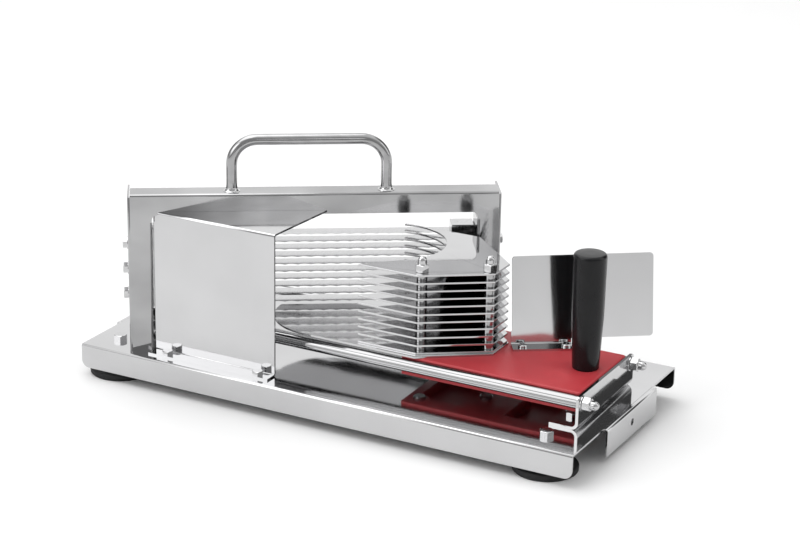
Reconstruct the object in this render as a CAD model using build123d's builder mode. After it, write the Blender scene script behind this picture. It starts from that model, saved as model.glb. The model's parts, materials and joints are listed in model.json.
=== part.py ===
"""Manual vegetable slicer: a carriage on two guide rods pushes a stack of fins between serrated blades.

Units are millimetres. +X runs along the base towards the grip, +Y towards the back, +Z up.
The origin is under the middle of the base, on the surface that the feet stand on.
"""

import os
from math import cos, radians, sin

from build123d import *

os.makedirs("parts", exist_ok=True)

# ---------------------------------------------------------------- driving dimensions
# Base
base_length = 430.0
base_width = 197.0
base_top = 27.0
base_flange = 19.5
sheet = 1.5
fold_radius = 0.6
flange_corner_radius = 6.5
tab_width = 95.0
tab_centre_y = 4.0
tab_drop = 22.0
tab_reach = 4.0
tab_hole_radius = 2.7
tab_hole_drop = 11.0

# Feet
foot_x = (-194.0, 183.0)
foot_y = 74.0
foot_radius = 25.0
foot_neck_radius = 11.0
foot_lip = 5.0
foot_lip_rounding = 1.2
foot_hollow = 4.0
foot_hollow_slope = 1.8
foot_ring = 4.0
foot_ring_rounding = 0.8
foot_shoulder = 9.0
foot_shoulder_rise = 1.0
foot_neck_rise = 7.0
foot_bolt_reach = 15.0

# Carriage track
track_y = -4.75
rod_spacing = 90.5
rod_radius = 5.0
rod_height = 20.0
bracket_width = 103.0
bracket_height = 26.4
bracket_foot = 23.5
bracket_sheet = 2.3
bracket_bend = 3.5
right_bracket_x = 200.0
left_bracket_x = -179.0
bracket_bolt_inset = 19.5
bracket_corner = 2.5

# Portal that carries the blades, set askew across the base
portal_angle = 33.07
portal_x = -172.7
portal_y = -91.7
portal_width = 293.5
portal_height = 130.0
portal_leg = 18.9
portal_rail = 17.0
portal_top_depth = 18.0
portal_side_depth = 34.0
portal_wall_depth = 28.0
portal_wall_height = 107.0
portal_corner_radius = 4.0
fold_relief = 2.2

# Blades, fins and their common pitch
slice_pitch = 6.3
blade_count = 10
fin_count = 11
lowest_blade = 32.4
blade_sheet = 0.7
blade_front = 20.0
blade_width = 14.0
scallop_pitch = 10.4
scallop_depth = 1.6
scallop_margin = 3.0
holder_width = 18.3
holder_front = 17.0
holder_depth = 17.0
holder_grip = 10.0
holder_bottom = 30.5
holder_top = 96.5
holder_edge = 0.6
slot_clearance = 0.05
pin_radius = 2.0
tension_heights = (40.0, 61.0, 82.0)
tension_depth = 26.0
thread_depth = 7.5

# Carry handle on the portal's top flange
handle_left = 81.5
handle_right = 202.7
handle_radius = 4.4
handle_rise = 41.5
handle_bend = 20.0
handle_depth = 9.0
collar_radius = 6.6
collar_height = 3.2
collar_lip = 0.3
collar_waist = (0.8, 1.1)
handle_screw_radius = 2.0
handle_screw_reach = 10.0

# Front guard
guard_left = -156.7
guard_right = -46.7
guard_face_y = -79.3
guard_top = 116.0
guard_foot_y = -90.2
guard_apex = (-42.1, -6.6)
guard_clearance = 0.15
guard_notch_gap = 0.4
guard_lip = 6.0
guard_bolt_y = -85.9
guard_bolt_insets = (15.7, 11.3)

# Carriage block and tray
block_left = 47.5
block_right = 197.0
block_width = 87.5
block_bottom = 11.5
block_top = 27.0
block_recess = 9.0
block_side_rim = 7.5
block_long_rim = 15.5
block_web_centre = (111.0, -13.0)
block_web = (36.0, 42.0)
block_corner = 2.0
block_recess_corner = 3.0
block_edge = 1.5
boss_radius = 8.0
groove_radius = 5.3
tray_front_y = -51.0
tray_left = -85.0
tray_radius = 48.0
tray_back_y = 41.5
tray_margin = 1.0
tray_back_cut = 28.0

# Pusher
column_points = ((58.3, -36.9), (102.2, -9.4))
column_radius = 4.1
bolt_radius = 2.4
bolt_hole_radius = 2.55
bolt_head_radius = 5.0
bolt_head = 2.8

# Hand guard and grip
hand_guard_x = 112.0
hand_guard_y = 11.5
hand_guard_length = 110.0
hand_guard_bottom = 32.0
hand_guard_top = 98.0
hand_guard_lean = 8.0
hand_guard_skew = 1.0
hand_guard_foot = 47.0
hand_guard_foot_depth = 12.5
hand_guard_overlap = 6.0
hand_guard_screws = (8.0, 42.0)
hand_guard_start = 0.5
hand_guard_corner = 3.0
screw_depth = 7.0
screw_radius = 2.0
screw_head_radius = 3.6
screw_head_height = 2.2
screw_reach = 8.5
screw_head_rounding = 1.2
screw_cross = (5.2, 0.9)
screw_cross_depth = 1.0
grip_x = 180.0
grip_y = 0.0
grip_height = 92.0
grip_edge = 2.5
grip_foot_edge = 0.8
grip_foot_radius = 10.3
grip_knee = (12.3, 43.0)
grip_top_radius = 12.8
stud_radius = 3.0
stud_reach = 30.0
stud_head_radius = 5.5
stud_head = 2.6

# Fasteners
small_hex = 8.0
small_head = 3.6
large_hex = 10.0
large_head = 4.2
screw_hex = 7.0
screw_head = 2.8
washer_sheet = 1.2
washer_radius = 6.0
acorn_across = 9.5
acorn_hex = 6.0
acorn_height = 12.4
acorn_dome_radius = 3.5
bolt_overhang = 4.0
head_chamfer = 0.8

deck_plane = Plane.XY.offset(base_top)
along_portal = Vector(1, 0, 0).rotate(Axis.Z, portal_angle)
behind_portal = Vector(0, 1, 0).rotate(Axis.Z, portal_angle)
portal_corner = Vector(portal_x, portal_y, base_top)
# Local x runs along the portal on both; local y is height on the face and depth on the floor.
portal_face = Plane(origin=portal_corner, x_dir=along_portal, z_dir=-behind_portal)
portal_floor = Plane(origin=portal_corner, x_dir=along_portal, z_dir=(0, 0, 1))


def save(piece, name):
    """Label one finished piece and write it as its own STEP file."""
    piece.label = name
    export_step(piece, f"parts/{name}.step")


def folded_strip(plane, points, thickness, radius, width, side=Side.LEFT):
    """A sheet folded along the points, which lie on its outside, and as wide as given to both sides."""
    with BuildPart() as strip:
        with BuildSketch(plane):
            with BuildLine():
                FilletPolyline(*points, radius=radius)
                offset(amount=thickness, side=side)
            make_face()
        extrude(amount=width / 2, both=True)
    return strip.part


def hex_bolt(plane, across, head, radius, shank):
    """A hexagon bolt whose head stands on the plane, with the shank going down through it."""
    with BuildPart() as bolt:
        with BuildSketch(plane):
            RegularPolygon(radius=across / 2, side_count=6, major_radius=False)
        extrude(amount=head)
        with BuildSketch(plane):
            Circle(radius)
        extrude(amount=-shank)
    return bolt.part


def acorn_nut(plane):
    """A domed hexagon nut that stands on the plane, with a blind thread bore."""
    dome_start = acorn_height - acorn_dome_radius
    with BuildPart() as nut:
        with BuildSketch(plane):
            RegularPolygon(radius=acorn_across / 2, side_count=6, major_radius=False)
        extrude(amount=acorn_hex)
        with BuildSketch(plane.offset(acorn_hex)):
            Circle(acorn_dome_radius)
        extrude(amount=dome_start - acorn_hex)
        with BuildSketch(Plane(plane.origin, x_dir=plane.x_dir, z_dir=-plane.y_dir)):
            with BuildLine():
                Line((0, dome_start), (acorn_dome_radius, dome_start))
                RadiusArc((acorn_dome_radius, dome_start), (0, acorn_height), -acorn_dome_radius)
                Line((0, acorn_height), (0, dome_start))
            make_face()
        revolve(axis=Axis(plane.origin, plane.z_dir))
        with BuildSketch(plane):
            Circle(bolt_hole_radius)
        extrude(amount=dome_start, mode=Mode.SUBTRACT)
    return nut.part


def group(pieces):
    """Separate solids that share one node."""
    return Compound(children=list(pieces))


def on_portal(along, depth, height=0.0):
    """A point given along the portal's face, behind it, and above the deck."""
    return portal_floor.from_local_coords((along, depth, height))


def on_deck(x, y, height=0.0):
    """A level plane whose origin is that point, at that height above the deck."""
    return Plane(origin=(x, y, base_top + height), x_dir=(1, 0, 0), z_dir=(0, 0, 1))


def across_portal(along, depth, height):
    """A plane through that point that faces along the portal, with its local y up."""
    origin = on_portal(along, depth, height)
    return Plane(origin=origin, x_dir=behind_portal, z_dir=along_portal)


# ---------------------------------------------------------------- base tray
foot_points = [(x, y) for x in foot_x for y in (-foot_y, foot_y)]
bracket_bolt_x = (
    left_bracket_x + bracket_sheet + bracket_foot / 2,
    right_bracket_x - bracket_sheet - bracket_foot / 2,
)
bracket_bolt_reach = bracket_width / 2 - bracket_bolt_inset
bracket_bolt_points = [
    (x, track_y + side * bracket_bolt_reach) for x in bracket_bolt_x for side in (-1, 1)
]
guard_bolt_points = [
    (guard_left + guard_bolt_insets[0], guard_bolt_y),
    (guard_right - guard_bolt_insets[1], guard_bolt_y),
]

with BuildPart() as base_tray:
    with BuildSketch(Plane.YZ.offset(-base_length / 2)):
        with BuildLine():
            FilletPolyline(
                (-base_width / 2, base_top - base_flange),
                (-base_width / 2, base_top),
                (base_width / 2, base_top),
                (base_width / 2, base_top - base_flange),
                radius=fold_radius + sheet,
            )
            offset(amount=sheet, side=Side.RIGHT)
        make_face()
    extrude(amount=base_length)
    flange_corners = base_tray.edges().filter_by(Axis.Y).group_by(Axis.Z)[0]
    fillet(flange_corners, radius=flange_corner_radius)
    with Locations(*[(x, y, base_top) for x, y in foot_points]):
        Hole(bolt_hole_radius, depth=2 * sheet)
    with Locations(*[(x, y, base_top) for x, y in bracket_bolt_points + guard_bolt_points]):
        Hole(bolt_hole_radius, depth=2 * sheet)
save(base_tray.part, "base_tray")

# A tab with a fixing hole hangs from each end of the deck.
for tab_name, side in (("end_tab_left", -1), ("end_tab_right", 1)):
    end_x = side * base_length / 2
    with BuildPart() as end_tab:
        add(
            folded_strip(
                Plane(origin=(end_x, tab_centre_y, base_top), x_dir=(side, 0, 0), z_dir=(0, -side, 0)),
                [(0, 0), (tab_reach, 0), (tab_reach, -tab_drop)],
                sheet,
                fold_radius + sheet,
                tab_width,
                Side.RIGHT,
            )
        )
        with Locations(
            Plane(
                origin=(end_x + side * tab_reach, tab_centre_y, base_top - tab_hole_drop),
                x_dir=(0, 1, 0),
                z_dir=(side, 0, 0),
            )
        ):
            Hole(tab_hole_radius, depth=2 * sheet)
    save(end_tab.part, tab_name)

# ---------------------------------------------------------------- suction feet and their bolts
foot_top = base_top - sheet
foot_names = ("front_left", "back_left", "front_right", "back_right")
for foot_name, (x, y) in zip(foot_names, foot_points):
    with BuildPart() as foot:
        with BuildSketch(Plane.XZ):
            with BuildLine():
                Polyline(
                    (0, foot_hollow),
                    (foot_radius - foot_shoulder, foot_hollow - foot_hollow_slope),
                    (foot_radius - foot_ring, 0),
                    (foot_radius - foot_ring_rounding, 0),
                )
                ThreePointArc(
                    (foot_radius - foot_ring_rounding, 0),
                    (foot_radius, foot_lip / 2),
                    (foot_radius - foot_lip_rounding, foot_lip),
                )
                Polyline(
                    (foot_radius - foot_lip_rounding, foot_lip),
                    (foot_radius - foot_shoulder, foot_lip + foot_shoulder_rise),
                    (foot_neck_radius, foot_lip + foot_neck_rise),
                    (foot_neck_radius, foot_top),
                    (0, foot_top),
                    (0, foot_hollow),
                )
            make_face()
        revolve(axis=Axis.Z)
        with BuildSketch(Plane.XY.offset(foot_top)):
            Circle(bolt_hole_radius)
        extrude(amount=-foot_bolt_reach, mode=Mode.SUBTRACT)
    save(foot.part.moved(Location((x, y, 0))), f"suction_foot_{foot_name}")

foot_bolts = [
    hex_bolt(on_deck(x, y), large_hex, large_head, bolt_radius, foot_bolt_reach) for x, y in foot_points
]
save(group(foot_bolts), "foot_bolts")

# ---------------------------------------------------------------- end brackets and guide rods
rod_points = [track_y - rod_spacing / 2, track_y + rod_spacing / 2]
for bracket_name, face_x, inward in (
    ("end_bracket_left", left_bracket_x, 1),
    ("end_bracket_right", right_bracket_x, -1),
):
    with BuildPart() as bracket:
        add(
            folded_strip(
                Plane(origin=(face_x, track_y, base_top), x_dir=(inward, 0, 0), z_dir=(0, -inward, 0)),
                [(0, bracket_height), (0, 0), (bracket_foot, 0)],
                bracket_sheet,
                bracket_bend + bracket_sheet,
                bracket_width,
                Side.LEFT,
            )
        )
        upright_corners = bracket.edges().filter_by(Axis.X).group_by(Axis.Z)[-1]
        fillet(upright_corners, radius=bracket_corner)
        for rod_y in rod_points:
            with Locations(
                Plane(
                    origin=(face_x, rod_y, base_top + rod_height),
                    x_dir=(0, 1, 0),
                    z_dir=(-inward, 0, 0),
                )
            ):
                Hole(bolt_hole_radius, depth=2 * bracket_sheet)
        with Locations(
            *[
                (x, y, base_top + bracket_sheet)
                for x, y in bracket_bolt_points
                if abs(x - face_x) < bracket_foot
            ]
        ):
            Hole(bolt_hole_radius, depth=2 * bracket_sheet)
    save(bracket.part, bracket_name)

bracket_bolts = [
    hex_bolt(
        on_deck(x, y, bracket_sheet),
        small_hex,
        small_head,
        bolt_radius,
        bracket_sheet + sheet + bolt_overhang,
    )
    for x, y in bracket_bolt_points
]
save(group(bracket_bolts), "bracket_bolts")

rod_start = left_bracket_x + bracket_sheet
rod_end = right_bracket_x - bracket_sheet
stud_length = bracket_sheet + washer_sheet + acorn_hex
for rod_name, rod_y in zip(("guide_rod_front", "guide_rod_back"), rod_points):
    with BuildPart() as rod:
        with BuildSketch(Plane.YZ.offset(rod_start)):
            with Locations((rod_y, base_top + rod_height)):
                Circle(rod_radius)
        extrude(amount=rod_end - rod_start)
        with BuildSketch(Plane.YZ.offset(rod_start - stud_length)):
            with Locations((rod_y, base_top + rod_height)):
                Circle(bolt_radius)
        extrude(amount=rod_end - rod_start + 2 * stud_length)
    save(rod.part, rod_name)

rod_end_planes = [
    Plane(origin=(face_x, rod_y, base_top + rod_height), x_dir=(0, 1, 0), z_dir=(outward, 0, 0))
    for face_x, outward in ((left_bracket_x, -1), (right_bracket_x, 1))
    for rod_y in rod_points
]
rod_washers = []
for end_plane in rod_end_planes:
    with BuildPart() as washer:
        with BuildSketch(end_plane):
            Circle(washer_radius)
            Circle(bolt_hole_radius, mode=Mode.SUBTRACT)
        extrude(amount=washer_sheet)
    rod_washers.append(washer.part)
save(group(rod_washers), "rod_washers")
save(group(acorn_nut(plane.offset(washer_sheet)) for plane in rod_end_planes), "rod_acorn_nuts")

# ---------------------------------------------------------------- portal
opening_width = portal_width - 2 * portal_leg
opening_height = portal_height - portal_rail
leg_top = portal_height - fold_relief
outer_fold = fold_radius + sheet
tension_radius = 2.5
tension_hole_radius = tension_radius + 0.15
handle_feet = (handle_left, handle_right)
handle_hole_radius = handle_screw_radius + 0.15

with BuildPart() as blade_frame:
    with BuildSketch(portal_floor):
        with BuildLine():
            FilletPolyline(
                (0, portal_side_depth),
                (0, 0),
                (portal_leg, 0),
                (portal_leg, portal_wall_depth),
                radius=outer_fold,
            )
            offset(amount=sheet, side=Side.LEFT)
        make_face()
    extrude(amount=portal_wall_height)
    with BuildSketch(portal_floor.offset(portal_wall_height)):
        with BuildLine():
            FilletPolyline((0, portal_side_depth), (0, 0), (portal_leg, 0), radius=outer_fold)
            offset(amount=sheet, side=Side.LEFT)
        make_face()
    extrude(amount=leg_top - portal_wall_height)
    mirror(about=across_portal(portal_width / 2, 0, 0))
    add(
        folded_strip(
            across_portal(portal_width / 2, 0, 0),
            [
                (0, portal_wall_height),
                (0, portal_height),
                (portal_top_depth, portal_height),
            ],
            sheet,
            outer_fold,
            portal_width - 2 * fold_relief,
            Side.RIGHT,
        )
    )
    with BuildSketch(portal_face):
        with Locations((portal_width / 2, opening_height / 2)):
            RectangleRounded(opening_width, opening_height, portal_corner_radius)
    extrude(amount=-sheet, mode=Mode.SUBTRACT)
    for height in tension_heights:
        with BuildSketch(across_portal(portal_width / 2, tension_depth, height)):
            Circle(tension_hole_radius)
        extrude(amount=portal_width, both=True, mode=Mode.SUBTRACT)
    with BuildSketch(portal_floor.offset(portal_height)):
        with Locations(*[(foot, handle_depth) for foot in handle_feet]):
            Circle(handle_hole_radius)
    extrude(amount=-2 * sheet, mode=Mode.SUBTRACT)
save(blade_frame.part, "blade_frame")

# ---------------------------------------------------------------- blade holders, blades and tension bolts
holder_starts = (portal_leg + 0.1, portal_width - portal_leg - 0.1 - holder_width)
blade_start = holder_starts[0] + holder_width - holder_grip
blade_end = holder_starts[1] + holder_grip
blade_heights = [lowest_blade + slice_pitch * i for i in range(blade_count)]
pin_points = [
    (blade_start + holder_grip / 2, blade_front + blade_width / 2),
    (blade_end - holder_grip / 2, blade_front + blade_width / 2),
]
pin_hole_radius = pin_radius + 0.05

for holder_name, start, slot_start, thread_start, inward, pin_point in (
    ("blade_holder_left", holder_starts[0], blade_start, holder_starts[0], 1, pin_points[0]),
    (
        "blade_holder_right",
        holder_starts[1],
        holder_starts[1],
        holder_starts[1] + holder_width,
        -1,
        pin_points[1],
    ),
):
    with BuildPart() as holder:
        with BuildSketch(portal_floor.offset(holder_bottom)):
            with Locations((start + holder_width / 2, holder_front + holder_depth / 2)):
                Rectangle(holder_width, holder_depth)
        extrude(amount=holder_top - holder_bottom)
        chamfer(holder.edges().group_by(Axis.Z)[-1], length=holder_edge)
        for height in blade_heights:
            with BuildSketch(portal_floor.offset(height - blade_sheet / 2 - slot_clearance)):
                with Locations((slot_start + holder_grip / 2, holder_front + holder_depth / 2)):
                    Rectangle(holder_grip, holder_depth)
            extrude(amount=blade_sheet + 2 * slot_clearance, mode=Mode.SUBTRACT)
        for height in tension_heights:
            with BuildSketch(across_portal(thread_start, tension_depth, height)):
                Circle(tension_radius)
            extrude(amount=inward * thread_depth, mode=Mode.SUBTRACT)
        with BuildSketch(portal_floor.offset(holder_bottom)):
            with Locations(pin_point):
                Circle(pin_hole_radius)
        extrude(amount=holder_top - holder_bottom, mode=Mode.SUBTRACT)
    save(holder.part, holder_name)

blade_pins = []
for pin_point in pin_points:
    with BuildPart() as pin:
        with BuildSketch(portal_floor.offset(holder_bottom)):
            with Locations(pin_point):
                Circle(pin_radius)
        extrude(amount=holder_top - holder_bottom)
    blade_pins.append(pin.part)
save(group(blade_pins), "blade_pins")

# The cutting edge is a row of shallow scallops between two plain ends that sit in the holders.
edge_start = holder_starts[0] + holder_width + scallop_margin
scallop_count = int((holder_starts[1] - scallop_margin - edge_start) / scallop_pitch)
edge_end = edge_start + scallop_count * scallop_pitch
for i, height in enumerate(blade_heights):
    with BuildPart() as blade:
        with BuildSketch(portal_floor.offset(height - blade_sheet / 2)):
            with BuildLine():
                Line((blade_start, blade_front), (edge_start, blade_front))
                for j in range(scallop_count):
                    cusp = edge_start + j * scallop_pitch
                    ThreePointArc(
                        (cusp, blade_front),
                        (cusp + scallop_pitch / 2, blade_front + scallop_depth),
                        (cusp + scallop_pitch, blade_front),
                    )
                Polyline(
                    (edge_end, blade_front),
                    (blade_end, blade_front),
                    (blade_end, blade_front + blade_width),
                    (blade_start, blade_front + blade_width),
                    (blade_start, blade_front),
                )
            make_face()
        extrude(amount=blade_sheet)
        with BuildSketch(portal_floor.offset(height - blade_sheet / 2)):
            with Locations(*pin_points):
                Circle(pin_hole_radius)
        extrude(amount=blade_sheet, mode=Mode.SUBTRACT)
    save(blade.part, f"blade_{i + 1:02d}")

for bolts_name, face, outward, thread_start in (
    ("tension_bolts_left", 0.0, -1, holder_starts[0]),
    ("tension_bolts_right", portal_width, 1, holder_starts[1] + holder_width),
):
    reach = abs(thread_start - face) + thread_depth
    bolts = []
    for height in tension_heights:
        seat = Plane(
            origin=on_portal(face, tension_depth, height),
            x_dir=behind_portal,
            z_dir=along_portal * outward,
        )
        with BuildPart() as bolt:
            shank = reach + washer_sheet
            add(hex_bolt(seat.offset(washer_sheet), small_hex, small_head, tension_radius, shank))
            with BuildSketch(seat):
                Circle(bolt_head_radius)
            extrude(amount=washer_sheet)
        bolts.append(bolt.part)
    save(group(bolts), bolts_name)

# ---------------------------------------------------------------- carry handle
handle_plane = Plane(
    origin=on_portal(0, handle_depth, portal_height), x_dir=along_portal, z_dir=-behind_portal
)
with BuildPart() as carry_handle:
    with BuildLine(handle_plane):
        FilletPolyline(
            (handle_left, 0),
            (handle_left, handle_rise),
            (handle_right, handle_rise),
            (handle_right, 0),
            radius=handle_bend,
        )
    with BuildSketch(Plane(origin=on_portal(handle_left, handle_depth, portal_height), z_dir=(0, 0, 1))):
        Circle(handle_radius)
    sweep()
    with BuildSketch(portal_floor.offset(portal_height)):
        with Locations(*[(foot, handle_depth) for foot in handle_feet]):
            Circle(handle_screw_radius)
    extrude(amount=handle_screw_reach, mode=Mode.SUBTRACT)
save(carry_handle.part, "carry_handle")

# Each leg stands in a weld that flares out over the flange.
collar_bore = handle_radius + 0.02
handle_collars = []
handle_screws = []
for foot in handle_feet:
    collar_face = Plane(
        origin=on_portal(foot, handle_depth, portal_height), x_dir=along_portal, z_dir=-behind_portal
    )
    with BuildPart() as collar:
        with BuildSketch(collar_face):
            with BuildLine():
                Polyline(
                    (collar_bore + collar_lip, collar_height),
                    (collar_bore, collar_height),
                    (collar_bore, 0),
                    (collar_radius, 0),
                    (collar_radius, collar_lip),
                )
                ThreePointArc(
                    (collar_radius, collar_lip),
                    (collar_bore + collar_waist[0], collar_waist[1]),
                    (collar_bore + collar_lip, collar_height),
                )
            make_face()
        revolve(axis=Axis(collar_face.origin, (0, 0, 1)))
    handle_collars.append(collar.part)
    under_flange = Plane(
        origin=on_portal(foot, handle_depth, portal_height - sheet),
        x_dir=along_portal,
        z_dir=(0, 0, -1),
    )
    handle_screws.append(
        hex_bolt(under_flange, screw_hex, screw_head, handle_screw_radius, sheet + handle_screw_reach)
    )
save(group(handle_collars), "handle_collars")
save(group(handle_screws), "handle_screws")

# ---------------------------------------------------------------- front guard
guard_path_y = guard_face_y + sheet
guard_path_top = guard_top - sheet
with BuildPart() as front_guard:
    add(
        folded_strip(
            Plane(
                origin=((guard_left + guard_right) / 2, 0, base_top),
                x_dir=(0, 1, 0),
                z_dir=(1, 0, 0),
            ),
            [
                (guard_foot_y, 0),
                (guard_path_y, 0),
                (guard_path_y, guard_path_top),
                (guard_path_y + guard_lip, guard_path_top),
            ],
            sheet,
            [fold_radius + sheet, fold_radius],
            guard_right - guard_left,
            Side.LEFT,
        )
    )
    with BuildSketch(deck_plane.offset(guard_path_top)):
        with BuildLine():
            Polyline(
                (guard_left, guard_path_y + guard_lip - fold_radius),
                (guard_right, guard_path_y + guard_lip - fold_radius),
                guard_apex,
                (guard_left, guard_path_y + guard_lip - fold_radius),
            )
        make_face()
    extrude(amount=sheet)
    with BuildSketch(portal_floor.offset(opening_height - guard_clearance)):
        with Locations((portal_width / 2, portal_side_depth / 2 - guard_clearance)):
            Rectangle(portal_width, portal_side_depth)
    extrude(amount=2 * guard_lip, mode=Mode.SUBTRACT)
    # The foot is notched round the portal's left leg.
    with BuildSketch(portal_floor):
        with Locations(((portal_leg + guard_notch_gap) / 2, portal_wall_depth / 2 - guard_notch_gap)):
            Rectangle(portal_leg + guard_notch_gap, portal_wall_depth)
    extrude(amount=outer_fold + sheet, mode=Mode.SUBTRACT)
    with Locations(*[(x, y, base_top + sheet) for x, y in guard_bolt_points]):
        Hole(bolt_hole_radius, depth=2 * sheet)
save(front_guard.part, "front_guard")

guard_bolts = [
    hex_bolt(
        on_deck(x, y, sheet), small_hex, small_head, bolt_radius, 2 * sheet + bolt_overhang
    )
    for x, y in guard_bolt_points
]
save(group(guard_bolts), "guard_bolts")

# ---------------------------------------------------------------- carriage block
block_middle = (block_left + block_right) / 2
block_length = block_right - block_left
bottom_plane = deck_plane.offset(block_bottom)
top_plane = deck_plane.offset(block_top)
# The hand guard stands parallel to the portal.
hand_guard_floor = Plane(
    origin=(hand_guard_x, hand_guard_y, base_top + block_top), x_dir=along_portal, z_dir=(0, 0, 1)
)
guard_screw_points = [
    hand_guard_floor.from_local_coords((along, -screw_depth, 0)) for along in hand_guard_screws
]

with BuildPart() as carriage_block:
    with BuildSketch(bottom_plane):
        with Locations((block_middle, track_y)):
            Rectangle(block_length, block_width)
    extrude(amount=block_top - block_bottom)
    fillet(carriage_block.edges().filter_by(Axis.Z), radius=block_corner)
    fillet(carriage_block.faces().sort_by(Axis.Z)[-1].edges(), radius=block_edge)
    with BuildSketch(bottom_plane):
        with Locations((block_middle, track_y)):
            RectangleRounded(
                block_length - 2 * block_side_rim,
                block_width - 2 * block_long_rim,
                block_recess_corner,
            )
        with Locations(block_web_centre):
            Rectangle(*block_web, mode=Mode.SUBTRACT)
        with Locations(column_points[0], (grip_x, grip_y)):
            Circle(boss_radius, mode=Mode.SUBTRACT)
        with Locations(*[(point.X, point.Y) for point in guard_screw_points]):
            Circle(boss_radius, mode=Mode.SUBTRACT)
    extrude(amount=block_recess, mode=Mode.SUBTRACT)
    for rod_y in rod_points:
        with BuildSketch(Plane.YZ.offset(block_left - 1.0)):
            with Locations((rod_y, base_top + rod_height)):
                Circle(groove_radius)
        extrude(amount=block_length + 2.0, mode=Mode.SUBTRACT)
    with BuildSketch(bottom_plane):
        with Locations(*column_points):
            Circle(bolt_hole_radius)
    extrude(amount=block_top - block_bottom, mode=Mode.SUBTRACT)
    with BuildSketch(top_plane):
        with Locations(*[(point.X, point.Y) for point in guard_screw_points]):
            Circle(screw_radius + 0.05)
    extrude(amount=-screw_reach - 0.5, mode=Mode.SUBTRACT)
    with BuildSketch(bottom_plane):
        with Locations((grip_x, grip_y)):
            Circle(stud_radius + 0.1)
    extrude(amount=block_top - block_bottom, mode=Mode.SUBTRACT)
save(carriage_block.part, "carriage_block")

# ---------------------------------------------------------------- tray and pusher fins
# Corners of a fin, seen from above: front horn, front corner, right corner, and the back.
fin_front_y = -46.8
fin_back_y = 57.6
front_horn = (8.5, fin_front_y)
front_corner = (59.3, fin_front_y)
right_corner = (108.3, -13.1)
right_back = (108.3, 12.5)
back_corner = (60.5, fin_back_y)
back_horn = (-5.7, fin_back_y)
cradle_start = (-5.7, 55.2)
cradle_deepest = (48.8, 13.0)
cradle_end = (38.5, -16.0)


def fin_outline():
    """The outline shared by all the fins, with the round cradle that holds the food."""
    Polyline(
        front_horn, front_corner, right_corner, right_back, back_corner, back_horn, cradle_start
    )
    ThreePointArc(cradle_start, cradle_deepest, cradle_end)
    Line(cradle_end, front_horn)


tray_back_radius = tray_back_y - tray_front_y - tray_radius
fin_bottoms = [block_top + sheet + slice_pitch * i for i in range(fin_count)]
for i, bottom in enumerate(fin_bottoms):
    with BuildPart() as fin:
        with BuildSketch(deck_plane.offset(bottom)):
            with BuildLine():
                fin_outline()
            make_face()
            with Locations(*column_points):
                Circle(bolt_hole_radius, mode=Mode.SUBTRACT)
        extrude(amount=sheet)
    save(fin.part, f"pusher_fin_{i + 1:02d}")

with BuildPart() as food_tray:
    with BuildSketch(top_plane):
        with BuildLine():
            Polyline(
                (tray_left + tray_radius, tray_front_y),
                (front_corner[0] + tray_margin, tray_front_y),
                (right_corner[0] + tray_margin, right_corner[1] - 2 * tray_margin),
                (right_corner[0] + tray_margin, right_back[1]),
                (right_corner[0] - tray_back_cut, tray_back_y),
                (tray_left + tray_back_radius, tray_back_y),
            )
            RadiusArc(
                (tray_left + tray_back_radius, tray_back_y),
                (tray_left, tray_front_y + tray_radius),
                -tray_back_radius,
            )
            RadiusArc(
                (tray_left, tray_front_y + tray_radius),
                (tray_left + tray_radius, tray_front_y),
                -tray_radius,
            )
        make_face()
        with Locations(*column_points):
            Circle(bolt_hole_radius, mode=Mode.SUBTRACT)
    extrude(amount=sheet)
save(food_tray.part, "food_tray")

# Sleeves keep the fins one pitch apart; each bolt runs from under the block to an acorn nut on top.
stack_top = fin_bottoms[-1] + sheet
spacers = []
for point in column_points:
    for bottom in fin_bottoms[:-1]:
        with BuildPart() as spacer:
            with BuildSketch(deck_plane.offset(bottom + sheet)):
                with Locations(point):
                    Circle(column_radius)
                    Circle(bolt_hole_radius, mode=Mode.SUBTRACT)
            extrude(amount=slice_pitch - sheet)
        spacers.append(spacer.part)
save(group(spacers), "pusher_spacers")

pusher_bolts = []
for point in column_points:
    seat = Plane(
        origin=(point[0], point[1], base_top + block_bottom), x_dir=(1, 0, 0), z_dir=(0, 0, -1)
    )
    with BuildPart() as bolt:
        with BuildSketch(seat):
            Circle(bolt_head_radius)
        extrude(amount=bolt_head)
        chamfer(bolt.edges().group_by(Axis.Z)[0], length=head_chamfer)
        with BuildSketch(seat):
            Circle(bolt_radius)
        extrude(amount=-(stack_top - block_bottom + acorn_hex))
    pusher_bolts.append(bolt.part)
save(group(pusher_bolts), "pusher_bolts")
save(
    group(acorn_nut(on_deck(x, y, stack_top)) for x, y in column_points),
    "pusher_acorn_nuts",
)

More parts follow.
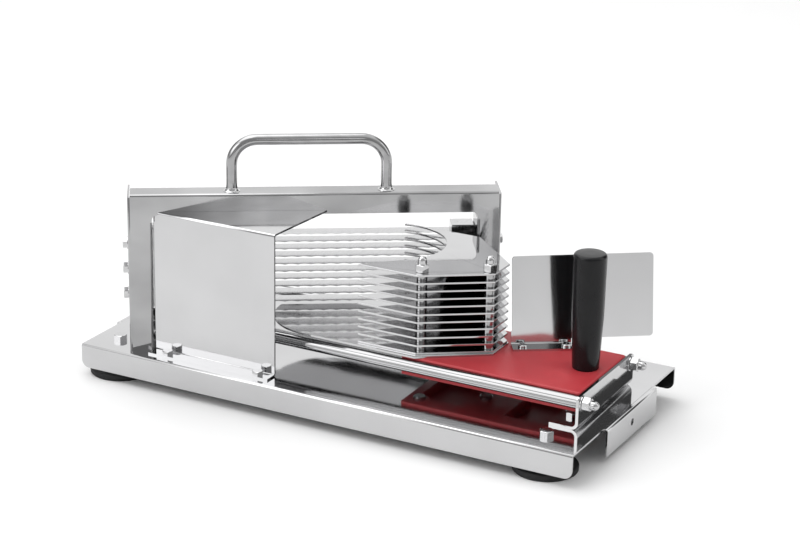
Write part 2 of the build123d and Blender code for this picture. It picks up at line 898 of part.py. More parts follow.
# ---------------------------------------------------------------- hand guard
# The plate leans back from its foot and sits a little crooked on it.
lean = radians(hand_guard_lean)
lean_reach = hand_guard_bottom - block_top + hand_guard_overlap
lean_back = (sheet + lean_reach * sin(lean), lean_reach * cos(lean))
with BuildPart() as hand_guard:
    add(
        folded_strip(
            Plane(
                origin=hand_guard_floor.from_local_coords((hand_guard_foot / 2, 0, 0)),
                x_dir=behind_portal,
                z_dir=along_portal,
            ),
            [
                (-hand_guard_foot_depth, 0),
                (sheet, 0),
                lean_back,
            ],
            sheet,
            fold_radius + sheet,
            hand_guard_foot,
            Side.LEFT,
        )
    )
    plate_height = hand_guard_top - hand_guard_bottom
    plate_plane = Plane(
        origin=hand_guard_floor.from_local_coords((0, sheet, 0)),
        x_dir=along_portal,
        z_dir=Vector(0, 0, sin(lean)) - behind_portal * cos(lean),
    )
    with BuildSketch(plate_plane):
        with Locations(
            (
                hand_guard_length / 2 + hand_guard_start,
                hand_guard_bottom - block_top + plate_height / 2,
            )
        ):
            RectangleRounded(
                hand_guard_length, plate_height, hand_guard_corner, rotation=hand_guard_skew
            )
    extrude(amount=sheet)
    with BuildSketch(hand_guard_floor):
        with Locations(*[(along, -screw_depth) for along in hand_guard_screws]):
            Circle(screw_radius + 0.15)
    extrude(amount=2 * sheet, mode=Mode.SUBTRACT)
save(hand_guard.part, "hand_guard")

guard_screws = []
for point in guard_screw_points:
    seat = on_deck(point.X, point.Y, block_top + sheet)
    with BuildPart() as screw:
        with BuildSketch(seat):
            Circle(screw_head_radius)
        extrude(amount=screw_head_height)
        fillet(screw.edges().group_by(Axis.Z)[-1], radius=screw_head_rounding)
        with BuildSketch(seat):
            Circle(screw_radius)
        extrude(amount=-(sheet + screw_reach))
        with BuildSketch(seat.offset(screw_head_height)):
            Rectangle(*screw_cross)
            Rectangle(*reversed(screw_cross))
        extrude(amount=-screw_cross_depth, mode=Mode.SUBTRACT)
    guard_screws.append(screw.part)
save(group(guard_screws), "hand_guard_screws")

# ---------------------------------------------------------------- grip and its stud
stud_top = block_top + stud_reach
with BuildPart() as grip_handle:
    with BuildSketch(Plane.XZ):
        with BuildLine():
            Polyline(
                (0, 0),
                (grip_foot_radius, 0),
                grip_knee,
                (grip_top_radius, grip_height),
                (0, grip_height),
                (0, 0),
            )
        make_face()
    revolve(axis=Axis.Z)
    fillet(grip_handle.edges().group_by(Axis.Z)[-1], radius=grip_edge)
    fillet(grip_handle.edges().group_by(Axis.Z)[0], radius=grip_foot_edge)
    with BuildSketch(Plane.XY):
        Circle(stud_radius + 0.05)
    extrude(amount=stud_reach + 0.5, mode=Mode.SUBTRACT)
save(
    grip_handle.part.moved(Location((grip_x, grip_y, base_top + block_top))),
    "grip_handle",
)

with BuildPart() as grip_stud:
    with BuildSketch(bottom_plane):
        with Locations((grip_x, grip_y)):
            Circle(stud_head_radius)
    extrude(amount=-stud_head)
    chamfer(grip_stud.edges().group_by(Axis.Z)[0], length=head_chamfer)
    with BuildSketch(bottom_plane):
        with Locations((grip_x, grip_y)):
            Circle(stud_radius)
    extrude(amount=stud_top - block_bottom)
save(grip_stud.part, "grip_stud")
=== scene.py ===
"""Studio look of a hand-pushed vegetable slicer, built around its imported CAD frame. Metres, +Z up."""

import json
import math

import bmesh
import bpy
from mathutils import Matrix, Vector


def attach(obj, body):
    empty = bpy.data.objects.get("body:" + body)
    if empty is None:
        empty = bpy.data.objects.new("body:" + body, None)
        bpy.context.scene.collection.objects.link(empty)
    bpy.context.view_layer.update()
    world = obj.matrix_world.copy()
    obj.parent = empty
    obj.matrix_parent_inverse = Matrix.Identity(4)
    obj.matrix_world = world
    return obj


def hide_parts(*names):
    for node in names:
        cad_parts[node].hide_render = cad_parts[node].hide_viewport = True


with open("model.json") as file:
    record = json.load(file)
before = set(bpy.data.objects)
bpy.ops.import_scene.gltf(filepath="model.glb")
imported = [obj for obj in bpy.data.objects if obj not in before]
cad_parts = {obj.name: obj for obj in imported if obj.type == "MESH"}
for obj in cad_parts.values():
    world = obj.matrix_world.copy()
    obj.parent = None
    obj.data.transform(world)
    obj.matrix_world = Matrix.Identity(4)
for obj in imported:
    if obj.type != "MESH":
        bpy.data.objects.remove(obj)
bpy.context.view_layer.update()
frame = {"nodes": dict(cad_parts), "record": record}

MM = 0.001
NODES = frame["nodes"]
SLOT_OF = {part["node"]: part["material_slot"] for part in frame["record"]["subparts"]}

# The portal is set askew; its own frame has x along it, y behind its face and z above the deck.
PORTAL_ANGLE = math.radians(33.07)
PORTAL_PLACE = (-172.7 * MM, -91.7 * MM, 27 * MM)
PORTAL = Matrix.Translation(PORTAL_PLACE) @ Matrix.Rotation(PORTAL_ANGLE, 4, "Z")

# Vertices closer than this are one.
WELD_DISTANCE = 0.002 * MM


# ---------------------------------------------------------------- camera
CAMERA_PLACE = (0.828278, -1.530277, 0.728104)
CAMERA_YAW, CAMERA_TILT, CAMERA_ROLL = (math.radians(a) for a in (27.85, 70.2, 1.01))
CAMERA_LENS = 106.16
CAMERA_SENSOR = 36.0


def make_camera():
    """A long lens looking down on the front right of the slicer."""
    data = bpy.data.cameras.new("camera")
    data.lens = CAMERA_LENS
    data.sensor_width = CAMERA_SENSOR
    camera = bpy.data.objects.new("camera", data)
    turn = (
        Matrix.Rotation(CAMERA_YAW, 4, "Z")
        @ Matrix.Rotation(CAMERA_TILT, 4, "X")
        @ Matrix.Rotation(CAMERA_ROLL, 4, "Z")
    )
    camera.matrix_world = Matrix.Translation(CAMERA_PLACE) @ turn
    bpy.context.scene.collection.objects.link(camera)
    bpy.context.scene.camera = camera


# ---------------------------------------------------------------- materials
# The range of noise values that carries nearly all of its variation.
NOISE_LOW, NOISE_HIGH = 0.3, 0.7


class Shader:
    """A node material with short ways to add noise, ramps and bump to its Principled BSDF."""

    def __init__(self, name, **constants):
        self.material = bpy.data.materials.new(name)
        self.material.use_nodes = True
        self.nodes = self.material.node_tree.nodes
        self.links = self.material.node_tree.links
        self.surface = self.nodes["Principled BSDF"]
        for socket, value in constants.items():
            self.surface.inputs[socket.replace("_", " ")].default_value = value
        self.place = self.nodes.new("ShaderNodeTexCoord").outputs["Object"]

    def noise(self, scale, detail=2.0, stretch=(1, 1, 1), turn=0.0):
        """Noise with that many features a metre, stretched along an axis of the object."""
        mapping = self.nodes.new("ShaderNodeMapping")
        mapping.inputs["Scale"].default_value = stretch
        mapping.inputs["Rotation"].default_value = (0, 0, turn)
        self.links.new(self.place, mapping.inputs["Vector"])
        noise = self.nodes.new("ShaderNodeTexNoise")
        noise.inputs["Scale"].default_value = scale
        noise.inputs["Detail"].default_value = detail
        self.links.new(mapping.outputs["Vector"], noise.inputs["Vector"])
        return noise.outputs["Fac"]

    def spread(self, source, low, high):
        """The noise, remapped to run from low to high."""
        spread = self.nodes.new("ShaderNodeMapRange")
        spread.inputs["From Min"].default_value = NOISE_LOW
        spread.inputs["From Max"].default_value = NOISE_HIGH
        spread.inputs["To Min"].default_value = low
        spread.inputs["To Max"].default_value = high
        self.links.new(source, spread.inputs["Value"])
        return spread.outputs["Result"]

    def colour(self, source, dark, light):
        """The base colour, from dark where the noise is low to light where it is high."""
        ramp = self.nodes.new("ShaderNodeValToRGB")
        stops = zip(ramp.color_ramp.elements, (NOISE_LOW, NOISE_HIGH), (dark, light))
        for stop, position, colour in stops:
            stop.position = position
            stop.color = (*colour, 1)
        self.links.new(source, ramp.inputs["Fac"])
        self.links.new(ramp.outputs["Color"], self.surface.inputs["Base Color"])

    def roughness(self, source, low, high):
        """The roughness, from low to high with the noise."""
        self.links.new(self.spread(source, low, high), self.surface.inputs["Roughness"])

    def bump(self, *layers):
        """Layers of (source, height in metres), from the broadest to the finest."""
        normal = None
        for source, height in layers:
            bump = self.nodes.new("ShaderNodeBump")
            bump.inputs["Distance"].default_value = height
            self.links.new(source, bump.inputs["Height"])
            if normal:
                self.links.new(normal, bump.inputs["Normal"])
            normal = bump.outputs["Normal"]
        self.links.new(normal, self.surface.inputs["Normal"])


STEEL_BLUE = 1.01


def grey(value):
    """A grey with the faint blue of steel."""
    return (value, value, value * STEEL_BLUE)


def polished_steel():
    """Mirror sheet: rolling waves that smear reflections, faint wipe marks and the odd smudge."""
    shader = Shader("polished_steel", Metallic=1.0)
    smudge = shader.noise(14, 4)
    wipe = shader.noise(30, 5, (1, 26, 26))
    shader.colour(smudge, grey(0.545), grey(0.60))
    shader.roughness(smudge, 0.045, 0.10)
    shader.bump(
        (shader.noise(8, 1), 0.00045),
        (shader.noise(34, 1, (1, 1, 0.4)), 0.00009),
        (wipe, 0.000004),
    )
    return shader.material


def portal_steel_painted_shade():
    """The portal's sheet: the same steel as the rest, with painted shade that makes its colour darker,
    and cloudy reflections.
    """
    shader = Shader("portal_steel_painted_shade", Metallic=1.0)
    cloud = shader.noise(11, 3, (1, 1, 1.8))
    shader.colour(cloud, grey(0.28), grey(0.46))
    shader.roughness(cloud, 0.05, 0.11)
    shader.bump((shader.noise(7, 1), 0.0006), (shader.noise(34, 1, (1, 1, 0.4)), 0.0001))
    return shader.material


def bar_steel():
    """Round bar, polished along its length."""
    shader = Shader("bar_steel", Metallic=1.0)
    draw = shader.noise(40, 2, (0.4, 5, 5))
    shader.colour(draw, grey(0.35), grey(0.42))
    shader.roughness(draw, 0.07, 0.11)
    return shader.material


def blade_steel():
    """Ground strip with a fine satin grain across it."""
    shader = Shader("blade_steel", Metallic=1.0)
    grain = shader.noise(60, 5, (30, 2, 2), -PORTAL_ANGLE)
    shader.colour(grain, grey(0.52), grey(0.63))
    shader.roughness(grain, 0.14, 0.24)
    shader.bump((grain, 0.000006))
    return shader.material


def hardware_steel():
    """Bright turned and headed fasteners."""
    shader = Shader("hardware_steel", Metallic=1.0)
    turned = shader.noise(900, 3)
    shader.colour(turned, grey(0.50), grey(0.60))
    shader.roughness(turned, 0.08, 0.15)
    shader.bump((turned, 0.000008))
    return shader.material


def carriage_plastic():
    """Red polyethylene, machined flat, with soft cutter marks and a waxy sheen."""
    shader = Shader("carriage_plastic", Specular_IOR_Level=0.45)
    shader.surface.inputs["Subsurface Weight"].default_value = 0.08
    shader.surface.inputs["Subsurface Radius"].default_value = (0.004, 0.0008, 0.0006)
    shader.surface.inputs["Subsurface Scale"].default_value = 1.0
    mottle = shader.noise(38, 4)
    cutter = shader.noise(240, 3, (0.35, 6, 6))
    shader.colour(mottle, (0.47, 0.036, 0.046), (0.55, 0.052, 0.062))
    shader.roughness(mottle, 0.36, 0.50)
    shader.bump((cutter, 0.00002), (shader.noise(2600, 2), 0.000012))
    return shader.material


def grip_plastic():
    """Black thermoset, glossy from the mould with a trace of orange peel."""
    shader = Shader("grip_plastic", Specular_IOR_Level=0.24)
    dust = shader.noise(90, 4)
    shader.colour(dust, (0.006, 0.006, 0.007), (0.010, 0.010, 0.011))
    shader.roughness(dust, 0.18, 0.24)
    shader.bump((shader.noise(420, 1), 0.000006))
    return shader.material


def foot_rubber():
    """Black rubber with a dry bloom."""
    shader = Shader("foot_rubber", Specular_IOR_Level=0.3)
    bloom = shader.noise(160, 6)
    shader.colour(bloom, (0.010, 0.010, 0.010), (0.022, 0.022, 0.023))
    shader.roughness(bloom, 0.55, 0.78)
    shader.bump((shader.noise(1900, 3), 0.00003))
    return shader.material


MATERIALS = {
    make.__name__: make()
    for make in (
        polished_steel,
        portal_steel_painted_shade,
        bar_steel,
        blade_steel,
        hardware_steel,
        carriage_plastic,
        grip_plastic,
        foot_rubber,
    )
}


# ---------------------------------------------------------------- CAD nodes
SHEET_NODES = {
    "base_tray",
    "end_tab_left",
    "end_tab_right",
    "end_bracket_left",
    "end_bracket_right",
    "blade_frame",
    "front_guard",
    "food_tray",
}
EDGE_BREAK = 0.25 * MM
SMOOTH_ANGLE = math.radians(25)


def finish_cad_node(name, node):
    """The node's material, and on sheet metal and the block the small broken edge of real ones.

    The hand guard's plate and foot meet in slivers that an edge break would shade unevenly.
    """
    node.data.materials.clear()
    # The portal gets a darker copy of the polished steel; its colour carries painted shade.
    finish = "portal_steel_painted_shade" if name == "blade_frame" else SLOT_OF[name]
    node.data.materials.append(MATERIALS[finish])
    if name in SHEET_NODES or name.startswith("pusher_fin") or name == "carriage_block":
        weld = node.modifiers.new("weld", "WELD")
        weld.merge_threshold = WELD_DISTANCE
        bevel = node.modifiers.new("edge_break", "BEVEL")
        bevel.width = EDGE_BREAK
        bevel.segments = 2
        bevel.limit_method = "ANGLE"
        bevel.angle_limit = SMOOTH_ANGLE
        bevel.harden_normals = True


for node_name, node in NODES.items():
    finish_cad_node(node_name, node)


# ---------------------------------------------------------------- skins
ROUND_SIDES = 64
FINE_SIDES = 96
ARC_STEP = math.radians(7)
ARC_LEAST_STEPS = 3
# A turned profile that closes at the axis stops just short of it.
AXIS_GAP = 0.05
# Turns a piece that stands along Z to lie along X.
ACROSS = Matrix.Rotation(math.radians(90), 4, "Y")


def millimetres(place):
    """A place given in metres, for points that are given in millimetres."""
    return place @ Matrix.Scale(MM, 4)


def add_skin(build, rings, place, loop=False):
    """A closed skin through rings of points in millimetres, capped at its ends unless it is a loop."""
    place = millimetres(place)
    layers = [[build.verts.new(place @ Vector(point)) for point in ring] for ring in rings]
    count = len(layers[0])
    pairs = list(zip(layers, layers[1:]))
    if loop:
        pairs.append((layers[-1], layers[0]))
    else:
        build.faces.new(layers[0])
        build.faces.new(layers[-1])
    for near, far in pairs:
        for i in range(count):
            following = (i + 1) % count
            build.faces.new((near[i], near[following], far[following], far[i]))


def rounded(corners):
    """A path through (across, along, radius) corners, with each corner turned into an arc."""
    path = []
    points = [Vector(corner[:2]) for corner in corners]
    for i, (point, corner) in enumerate(zip(points, corners)):
        radius = corner[2] if len(corner) > 2 else 0
        if not radius or i in (0, len(points) - 1):
            path.append(tuple(point))
            continue
        back = (points[i - 1] - point).normalized()
        ahead = (points[i + 1] - point).normalized()
        half = back.angle(ahead) / 2
        centre = point + (back + ahead).normalized() * radius / math.sin(half)
        start = point + back * radius / math.tan(half) - centre
        turn = start.angle_signed(point + ahead * radius / math.tan(half) - centre)
        steps = max(ARC_LEAST_STEPS, int(abs(turn) / ARC_STEP))
        for step in range(steps + 1):
            arc = start.copy()
            arc.rotate(Matrix.Rotation(-turn * step / steps, 2))
            path.append(tuple(centre + arc))
    return path


def add_turned(build, profile, place, loop=False, sides=ROUND_SIDES):
    """A round piece from a profile of (radius, height) points in millimetres."""
    angles = [math.tau * i / sides for i in range(sides)]
    rings = [[(r * math.cos(a), r * math.sin(a), z) for a in angles] for r, z in profile]
    add_skin(build, rings, place, loop)


HEX_SIDES = 48
TURNED_OFF = 0.95
TURN_SLOPE = math.tan(math.radians(30))


def add_hexagon(build, across, height, place, nut=False):
    """A hexagon head whose corners are turned off at 30 degrees, on both faces if it is a nut."""
    flat = across / 2
    turned = TURNED_OFF * flat
    top, shoulder, skirt, bottom = rings = [], [], [], []
    for i in range(HEX_SIDES):
        angle = math.tau * i / HEX_SIDES
        x, y = math.cos(angle), math.sin(angle)
        reach = flat / math.cos(angle % (math.tau / 6) - math.tau / 12)
        drop = (reach - turned) * TURN_SLOPE
        top.append((turned * x, turned * y, height))
        shoulder.append((reach * x, reach * y, height - drop))
        skirt.append((reach * x, reach * y, drop if nut else 0))
        bottom.append((turned * x, turned * y, 0))
    add_skin(build, rings if nut else rings[:-1], place)


THREAD_PITCH = 0.8
THREAD_DEPTH = 0.22
THREAD_STEPS = 5
THREAD_SIDES = 24


def add_thread(build, radius, length, place):
    """A helical thread that runs down from the place."""
    rings = []
    for i in range(int(length / THREAD_PITCH * THREAD_STEPS) + 1):
        z = -i * THREAD_PITCH / THREAD_STEPS
        ring = []
        for j in range(THREAD_SIDES):
            angle = math.tau * j / THREAD_SIDES
            wave = 0.5 - 0.5 * math.cos(math.tau * z / THREAD_PITCH + angle)
            reach = radius - THREAD_DEPTH * wave
            ring.append((reach * math.cos(angle), reach * math.sin(angle), z))
        rings.append(ring)
    add_skin(build, rings, place)


def solids(node, place=Matrix()):
    """The (low, high) boxes of a node's separate solids, in that place's frame, in millimetres."""
    build = bmesh.new()
    build.from_mesh(NODES[node].data)
    bmesh.ops.remove_doubles(build, verts=build.verts, dist=WELD_DISTANCE)
    to_place = millimetres(place).inverted()
    left = set(build.verts)
    boxes = []
    while left:
        reached = [left.pop()]
        for vert in reached:
            near = {edge.other_vert(vert) for edge in vert.link_edges} & left
            left -= near
            reached.extend(near)
        axes = list(zip(*(to_place @ vert.co for vert in reached)))
        boxes.append((Vector(map(min, axes)), Vector(map(max, axes))))
    build.free()
    return boxes


def shift(x, y, z):
    """A move in millimetres."""
    return Matrix.Translation((x * MM, y * MM, z * MM))


def make_piece(name, body, node, draw):
    """One piece drawn into a mesh, that stands for a CAD node and rides with its body."""
    build = bmesh.new()
    draw(build)
    bmesh.ops.recalc_face_normals(build, faces=build.faces)
    mesh = bpy.data.meshes.new(name)
    build.to_mesh(mesh)
    build.free()
    mesh.shade_smooth()
    mesh.set_sharp_from_angle(angle=SMOOTH_ANGLE)
    mesh.materials.append(MATERIALS[SLOT_OF[node]])
    piece = bpy.data.objects.new(name, mesh)
    bpy.context.scene.collection.objects.link(piece)
    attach(piece, body)
    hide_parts(node)


# ---------------------------------------------------------------- fasteners
ACORN_ACROSS = 9.5
ACORN_HEX = 6.0
ACORN_HEIGHT = 12.4
ACORN_DOME = 3.5
ACORN_SHOULDER = 0.5
ACORN_SUNK = 0.3
ACORN_FILLET = 0.8
ACORN_TIP = 0.06
WASHER_SHEET = 1.2
WASHER_EDGE = 0.2
WASHER_BORE = 2.55
BOLT_RADIUS = 2.4
BOLT_HEADS = {"foot_bolts": (10.0, 4.2), "bracket_bolts": (8.0, 3.6), "guard_bolts": (8.0, 3.6)}
TENSION_ACROSS = 8.0
TENSION_HEAD = 3.6
TENSION_RADIUS = 2.5
TENSION_WASHER = 5.0


def draw_upright_bolts(node):
    """Hexagon bolts whose heads stand on the sheet and whose threads show under it."""
    across, head = BOLT_HEADS[node]

    def draw(build):
        for low, high in solids(node):
            middle = (low + high) / 2
            seat = shift(middle.x, middle.y, high.z - head)
            add_hexagon(build, across, head, seat)
            add_thread(build, BOLT_RADIUS, high.z - head - low.z, seat)

    return draw


def draw_tension_bolts(node, outward):
    """Hexagon bolts with washers, square to the ends of the portal."""

    def draw(build):
        for low, high in solids(node, PORTAL):
            middle = (low + high) / 2
            face = high.x if outward > 0 else low.x
            seat_x = face - outward * (TENSION_HEAD + WASHER_SHEET)
            turn = ACROSS if outward > 0 else ACROSS.inverted()
            seat = PORTAL @ shift(seat_x, middle.y, middle.z) @ turn
            add_turned(build, washer_profile(TENSION_WASHER), seat, loop=True)
            add_hexagon(build, TENSION_ACROSS, TENSION_HEAD, seat @ shift(0, 0, WASHER_SHEET))
            reach = high.x - low.x - TENSION_HEAD
            add_thread(build, TENSION_RADIUS, reach, seat @ shift(0, 0, WASHER_SHEET))

    return draw


def ring_profile(bore, radius, length, edge):
    """The profile of a washer or sleeve with rounded outer edges."""
    return rounded([(bore, 0), (radius, 0, edge), (radius, length, edge), (bore, length)])


def washer_profile(radius):
    """The profile of a washer of that radius."""
    return ring_profile(WASHER_BORE, radius, WASHER_SHEET, WASHER_EDGE)


def draw_washers(build):
    """The washers under the nuts at the ends of the rods."""
    for low, high in solids("rod_washers"):
        middle = (low + high) / 2
        add_turned(
            build,
            washer_profile((high.z - low.z) / 2),
            shift(low.x, middle.y, middle.z) @ ACROSS,
            loop=True,
        )


def add_acorn(build, place):
    """A domed nut: hexagon below, bullet-shaped cap above."""
    add_hexagon(build, ACORN_ACROSS, ACORN_HEX, place, nut=True)
    cap = rounded(
        [
            (ACORN_DOME + ACORN_SHOULDER, ACORN_HEX - ACORN_SUNK),
            (ACORN_DOME, ACORN_HEX + ACORN_SHOULDER, ACORN_FILLET),
            (ACORN_DOME, ACORN_HEIGHT, ACORN_DOME - ACORN_TIP),
            (AXIS_GAP, ACORN_HEIGHT),
        ]
    )
    add_turned(build, cap, place, sides=HEX_SIDES)


def draw_rod_nuts(build):
    """The domed nuts at the ends of the rods, which point outwards."""
    for low, high in solids("rod_acorn_nuts"):
        middle = (low + high) / 2
        seat_x, turn = (low.x, ACROSS) if middle.x > 0 else (high.x, ACROSS.inverted())
        add_acorn(build, shift(seat_x, middle.y, middle.z) @ turn)


def draw_pusher_nuts(build):
    """The domed nuts on top of the stack of fins."""
    for low, high in solids("pusher_acorn_nuts"):
        middle = (low + high) / 2
        add_acorn(build, shift(middle.x, middle.y, low.z))


for bolts in BOLT_HEADS:
    make_piece(f"{bolts}_threaded", "base", bolts, draw_upright_bolts(bolts))
for side, outward in (("left", -1), ("right", 1)):
    bolts = f"tension_bolts_{side}"
    make_piece(f"{bolts}_threaded", "base", bolts, draw_tension_bolts(bolts, outward))
make_piece("rod_washers_rounded", "base", "rod_washers", draw_washers)
make_piece("rod_nuts_domed", "base", "rod_acorn_nuts", draw_rod_nuts)
make_piece("pusher_nuts_domed", "carriage", "pusher_acorn_nuts", draw_pusher_nuts)


# ---------------------------------------------------------------- round pieces
ROD_RADIUS = 5.0
ROD_STUD = 9.5
ROD_EDGE = 0.5
HANDLE_RADIUS = 4.4
HANDLE_BEND = 20.0
HANDLE_DEPTH = 9.0
COLLAR_BORE = 4.42
COLLAR_HEIGHT = 3.2
COLLAR_RADIUS = 6.6
COLLAR_LIP = 0.15
COLLAR_RIM = 0.25
COLLAR_STEPS = 10
SLEEVE_BORE = 2.55
SLEEVE_EDGE = 0.25
FOOT_NECK = 11
FOOT_LIP = 9
GRIP_BOTTOM = 10.3
GRIP_KNEE = (12.3, 43)
GRIP_KNEE_BEND = 90
GRIP_WIDEST = 12.8
GRIP_EDGE = 2.6


def draw_rod(node):
    """A rod with turned-down studs at both ends."""
    low, high = solids(node)[0]
    middle = (low + high) / 2
    profile = [
        (BOLT_RADIUS, 0),
        (BOLT_RADIUS, ROD_STUD),
        (ROD_RADIUS - ROD_EDGE, ROD_STUD),
        (ROD_RADIUS, ROD_STUD + ROD_EDGE),
    ]
    length = high.x - low.x
    profile += [(radius, length - along) for radius, along in reversed(profile)]
    return lambda build: add_turned(build, profile, shift(low.x, middle.y, middle.z) @ ACROSS)


def draw_handle(build):
    """The bent bar, as a fine tube along its own path."""
    low, high = solids("carry_handle", PORTAL)[0]
    left, right, top = low.x + HANDLE_RADIUS, high.x - HANDLE_RADIUS, high.z - HANDLE_RADIUS
    path = rounded(
        [(left, low.z), (left, top, HANDLE_BEND), (right, top, HANDLE_BEND), (right, low.z)]
    )
    rings = []
    for i, (x, z) in enumerate(path):
        before, after = path[max(i - 1, 0)], path[min(i + 1, len(path) - 1)]
        along = Vector((after[0] - before[0], 0, after[1] - before[1])).normalized()
        side = along.cross(Vector((0, 1, 0)))
        ring = []
        for j in range(ROUND_SIDES):
            angle = math.tau * j / ROUND_SIDES
            outward = side * math.cos(angle) + Vector((0, 1, 0)) * math.sin(angle)
            ring.append(Vector((x, HANDLE_DEPTH, z)) + outward * HANDLE_RADIUS)
        rings.append(ring)
    add_skin(build, rings, PORTAL)


def draw_collars(build):
    """Welds that flare from each leg of the handle onto the flange."""
    profile = [(COLLAR_BORE, COLLAR_HEIGHT), (COLLAR_BORE, 0), (COLLAR_RADIUS, 0)]
    for i in range(COLLAR_STEPS + 1):
        angle = math.radians(90) * i / COLLAR_STEPS
        inward = (COLLAR_RADIUS - COLLAR_BORE - COLLAR_LIP) * math.sin(angle)
        down = (COLLAR_HEIGHT - COLLAR_RIM) * math.cos(angle)
        profile.append((COLLAR_RADIUS - inward, COLLAR_HEIGHT - down))
    for low, high in solids("handle_collars", PORTAL):
        middle = (low + high) / 2
        add_turned(build, profile, PORTAL @ shift(middle.x, middle.y, low.z), loop=True)


def draw_sleeves(build):
    """The sleeves that hold the fins apart."""
    for low, high in solids("pusher_spacers"):
        middle = (low + high) / 2
        radius, length = (high.x - low.x) / 2, high.z - low.z
        profile = ring_profile(SLEEVE_BORE, radius, length, SLEEVE_EDGE)
        add_turned(build, profile, shift(middle.x, middle.y, low.z), loop=True)


def draw_foot(node):
    """A suction foot: hollow underneath, thin lip, neck up to the deck."""
    low, high = solids(node)[0]
    middle = (low + high) / 2
    radius, top = (high.x - low.x) / 2, high.z - low.z
    profile = rounded(
        [
            (AXIS_GAP, 4),
            (radius - FOOT_LIP, 2.2, 12),
            (radius - 4, 0, 2),
            (radius - 0.2, 0, 1.2),
            (radius + 0.1, 5, 1.4),
            (radius - FOOT_LIP, 6.2, 9),
            (FOOT_NECK, 12, 2),
            (FOOT_NECK, top),
            (AXIS_GAP, top),
        ]
    )
    place = shift(middle.x, middle.y, low.z)
    return lambda build: add_turned(build, profile, place, sides=FINE_SIDES)


def draw_grip(build):
    """The tapered black grip, fuller above its knee, with a softly crowned top."""
    low, high = solids("grip_handle")[0]
    middle = (low + high) / 2
    top = high.z - low.z
    profile = rounded(
        [
            (AXIS_GAP, 0),
            (GRIP_BOTTOM, 0, 0.8),
            (*GRIP_KNEE, GRIP_KNEE_BEND),
            (GRIP_WIDEST, top - 0.3, GRIP_EDGE),
            (5, top, 30),
            (AXIS_GAP, top),
        ]
    )
    add_turned(build, profile, shift(middle.x, middle.y, low.z), sides=FINE_SIDES)


for rod in ("guide_rod_front", "guide_rod_back"):
    make_piece(f"{rod}_turned", "base", rod, draw_rod(rod))
for foot in [name for name in NODES if name.startswith("suction_foot")]:
    make_piece(f"{foot}_moulded", "base", foot, draw_foot(foot))
make_piece("carry_handle_bent", "base", "carry_handle", draw_handle)
make_piece("handle_welds", "base", "handle_collars", draw_collars)
make_piece("pusher_sleeves", "carriage", "pusher_spacers", draw_sleeves)
make_piece("grip_moulded", "carriage", "grip_handle", draw_grip)


# ---------------------------------------------------------------- blades
BLADE_MARGIN = 13.0
SCALLOP_PITCH = 10.4
SCALLOP_DEPTH = 1.6
SCALLOP_STEPS = 12
BLADE_BEVEL = 2.6
BLADE_EDGE = 0.06
BLADE_STEP = 1.0


def draw_blade(node):
    """A strip with a scalloped edge that is ground to a bevel on both faces."""

    def draw(build):
        low, high = solids(node, PORTAL)[0]
        scallops = int((high.x - low.x - 2 * BLADE_MARGIN) / SCALLOP_PITCH)
        start = low.x + BLADE_MARGIN
        edge = [(low.x, low.y), (start - BLADE_STEP, low.y)]
        for i in range(scallops):
            for step in range(SCALLOP_STEPS):
                part = step / SCALLOP_STEPS
                dip = SCALLOP_DEPTH * 4 * part * (1 - part)
                edge.append((start + (i + part) * SCALLOP_PITCH, low.y + dip))
        edge += [(start + scallops * SCALLOP_PITCH, low.y), (high.x, low.y)]
        middle = (low.z + high.z) / 2
        rings = []
        for x, y in edge:
            rings.append(
                [
                    (x, y, middle - BLADE_EDGE / 2),
                    (x, y, middle + BLADE_EDGE / 2),
                    (x, y + BLADE_BEVEL, high.z),
                    (x, high.y, high.z),
                    (x, high.y, low.z),
                    (x, y + BLADE_BEVEL, low.z),
                ]
            )
        add_skin(build, rings, PORTAL)

    return draw


for blade in [name for name in NODES if name.startswith("blade_") and name[-1].isdigit()]:
    make_piece(f"{blade}_ground", "base", blade, draw_blade(blade))


# ---------------------------------------------------------------- studio
FLOOR_RADIUS = 7.0
FLOOR_SIDES = 96
CARD_PLACE = Vector((0.48, -0.98, 0.0))
CARD_ALONG = Vector((0.89, 0.43, 0))
CARD_WIDTH = 0.55
CARD_HEIGHT = 0.13


def make_stage(name, build, features, dark, light):
    """A matt surface that isn't part of the slicer, from a bmesh and two greys."""
    mesh = bpy.data.meshes.new(name)
    build.to_mesh(mesh)
    build.free()
    surface = bpy.data.objects.new(name, mesh)
    bpy.context.scene.collection.objects.link(surface)
    shader = Shader(name, Roughness=0.9, Specular_IOR_Level=0.1)
    shader.colour(shader.noise(features, 2), (dark, dark, dark), (light, light, light))
    mesh.materials.append(shader.material)
    return surface


def make_floor():
    """A plain pale floor."""
    build = bmesh.new()
    bmesh.ops.create_circle(build, cap_ends=True, segments=FLOOR_SIDES, radius=FLOOR_RADIUS)
    make_stage("floor", build, 3, 0.89, 0.91)


def make_card():
    """A low black card in front, seen only in the dark lines it puts into the polished sheet."""
    build = bmesh.new()
    across = CARD_ALONG * CARD_WIDTH / 2
    rise = Vector((0, 0, CARD_HEIGHT))
    left, right = CARD_PLACE - across, CARD_PLACE + across
    corners = (left, right, right + rise, left + rise)
    build.faces.new([build.verts.new(corner) for corner in corners])
    card = make_stage("card", build, 20, 0.02, 0.03)
    card.visible_camera = False


# Direction, angle of its edge and of its core in degrees, and the factors outside and inside it.
STUDIO_PATCHES = (
    ((-0.40, 0.75, 0.55), 110, 70, 0.44, 1.12),
    ((0.575, -0.735, 0.345), 5.5, 1.5, 1.0, 4.6),
    ((-0.50, -0.78, 0.38), 22, 10, 1.0, 4.6),
    ((0.42, 0.83, 0.36), 30, 14, 1.0, 0.08),
    ((-0.99, 0.12, 0.15), 32, 14, 1.0, 0.25),
)


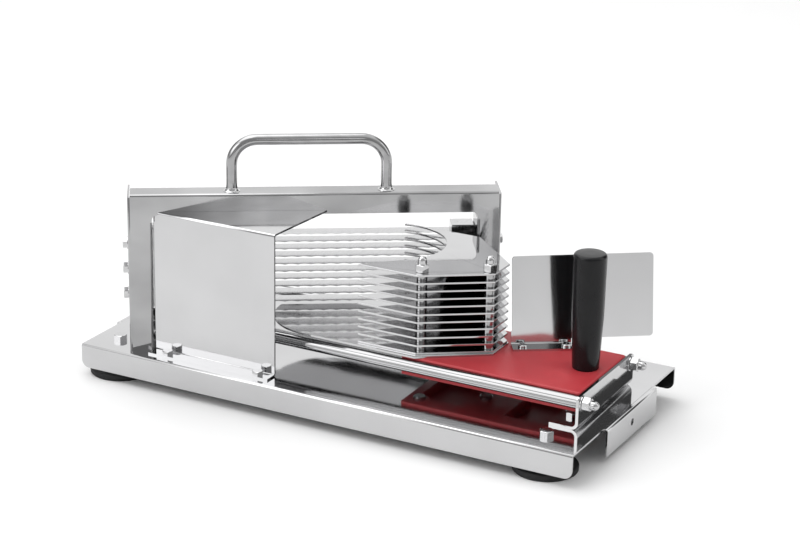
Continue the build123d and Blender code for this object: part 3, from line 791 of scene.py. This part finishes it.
def make_world():
    """A white studio with patches that are brighter or darker than the rest."""
    world = bpy.data.worlds.new("studio")
    bpy.context.scene.world = world
    world.use_nodes = True
    nodes, links = world.node_tree.nodes, world.node_tree.links
    direction = nodes.new("ShaderNodeTexCoord").outputs["Generated"]
    level = None
    for towards, edge, core, outside, inside in STUDIO_PATCHES:
        near = nodes.new("ShaderNodeVectorMath")
        near.operation = "DOT_PRODUCT"
        near.inputs[1].default_value = Vector(towards).normalized()
        links.new(direction, near.inputs[0])
        patch = nodes.new("ShaderNodeMapRange")
        patch.interpolation_type = "SMOOTHSTEP"
        patch.inputs["From Min"].default_value = math.cos(math.radians(edge))
        patch.inputs["From Max"].default_value = math.cos(math.radians(core))
        patch.inputs["To Min"].default_value = outside
        patch.inputs["To Max"].default_value = inside
        links.new(near.outputs["Value"], patch.inputs["Value"])
        if level:
            product = nodes.new("ShaderNodeMath")
            product.operation = "MULTIPLY"
            links.new(level, product.inputs[0])
            links.new(patch.outputs["Result"], product.inputs[1])
            level = product.outputs["Value"]
        else:
            level = patch.outputs["Result"]
    links.new(level, nodes["Background"].inputs["Strength"])
    nodes["Background"].inputs["Color"].default_value = (1, 1, 1, 1)


# Name, place, what it points at, width and height in metres, and power in watts.
SOFTBOXES = (
    ("overhead", (-0.6, 0.0, 1.6), (0, 0, 0.05), 1.8, 1.4, 11),
    ("right_fill", (1.5, 0.6, 0.7), (0.1, 0, 0.1), 0.7, 1.0, 1.5),
)


def make_softbox(name, place, aim, width, height, power):
    """A rectangular light that points from its place at its aim."""
    data = bpy.data.lights.new(name, "AREA")
    data.shape = "RECTANGLE"
    data.size, data.size_y, data.energy = width, height, power
    light = bpy.data.objects.new(name, data)
    light.location = place
    light.rotation_euler = (Vector(aim) - Vector(place)).to_track_quat("-Z", "Y").to_euler()
    bpy.context.scene.collection.objects.link(light)


make_camera()
make_floor()
make_card()
make_world()
for softbox in SOFTBOXES:
    make_softbox(*softbox)
bpy.context.scene.view_settings.view_transform = "Standard"
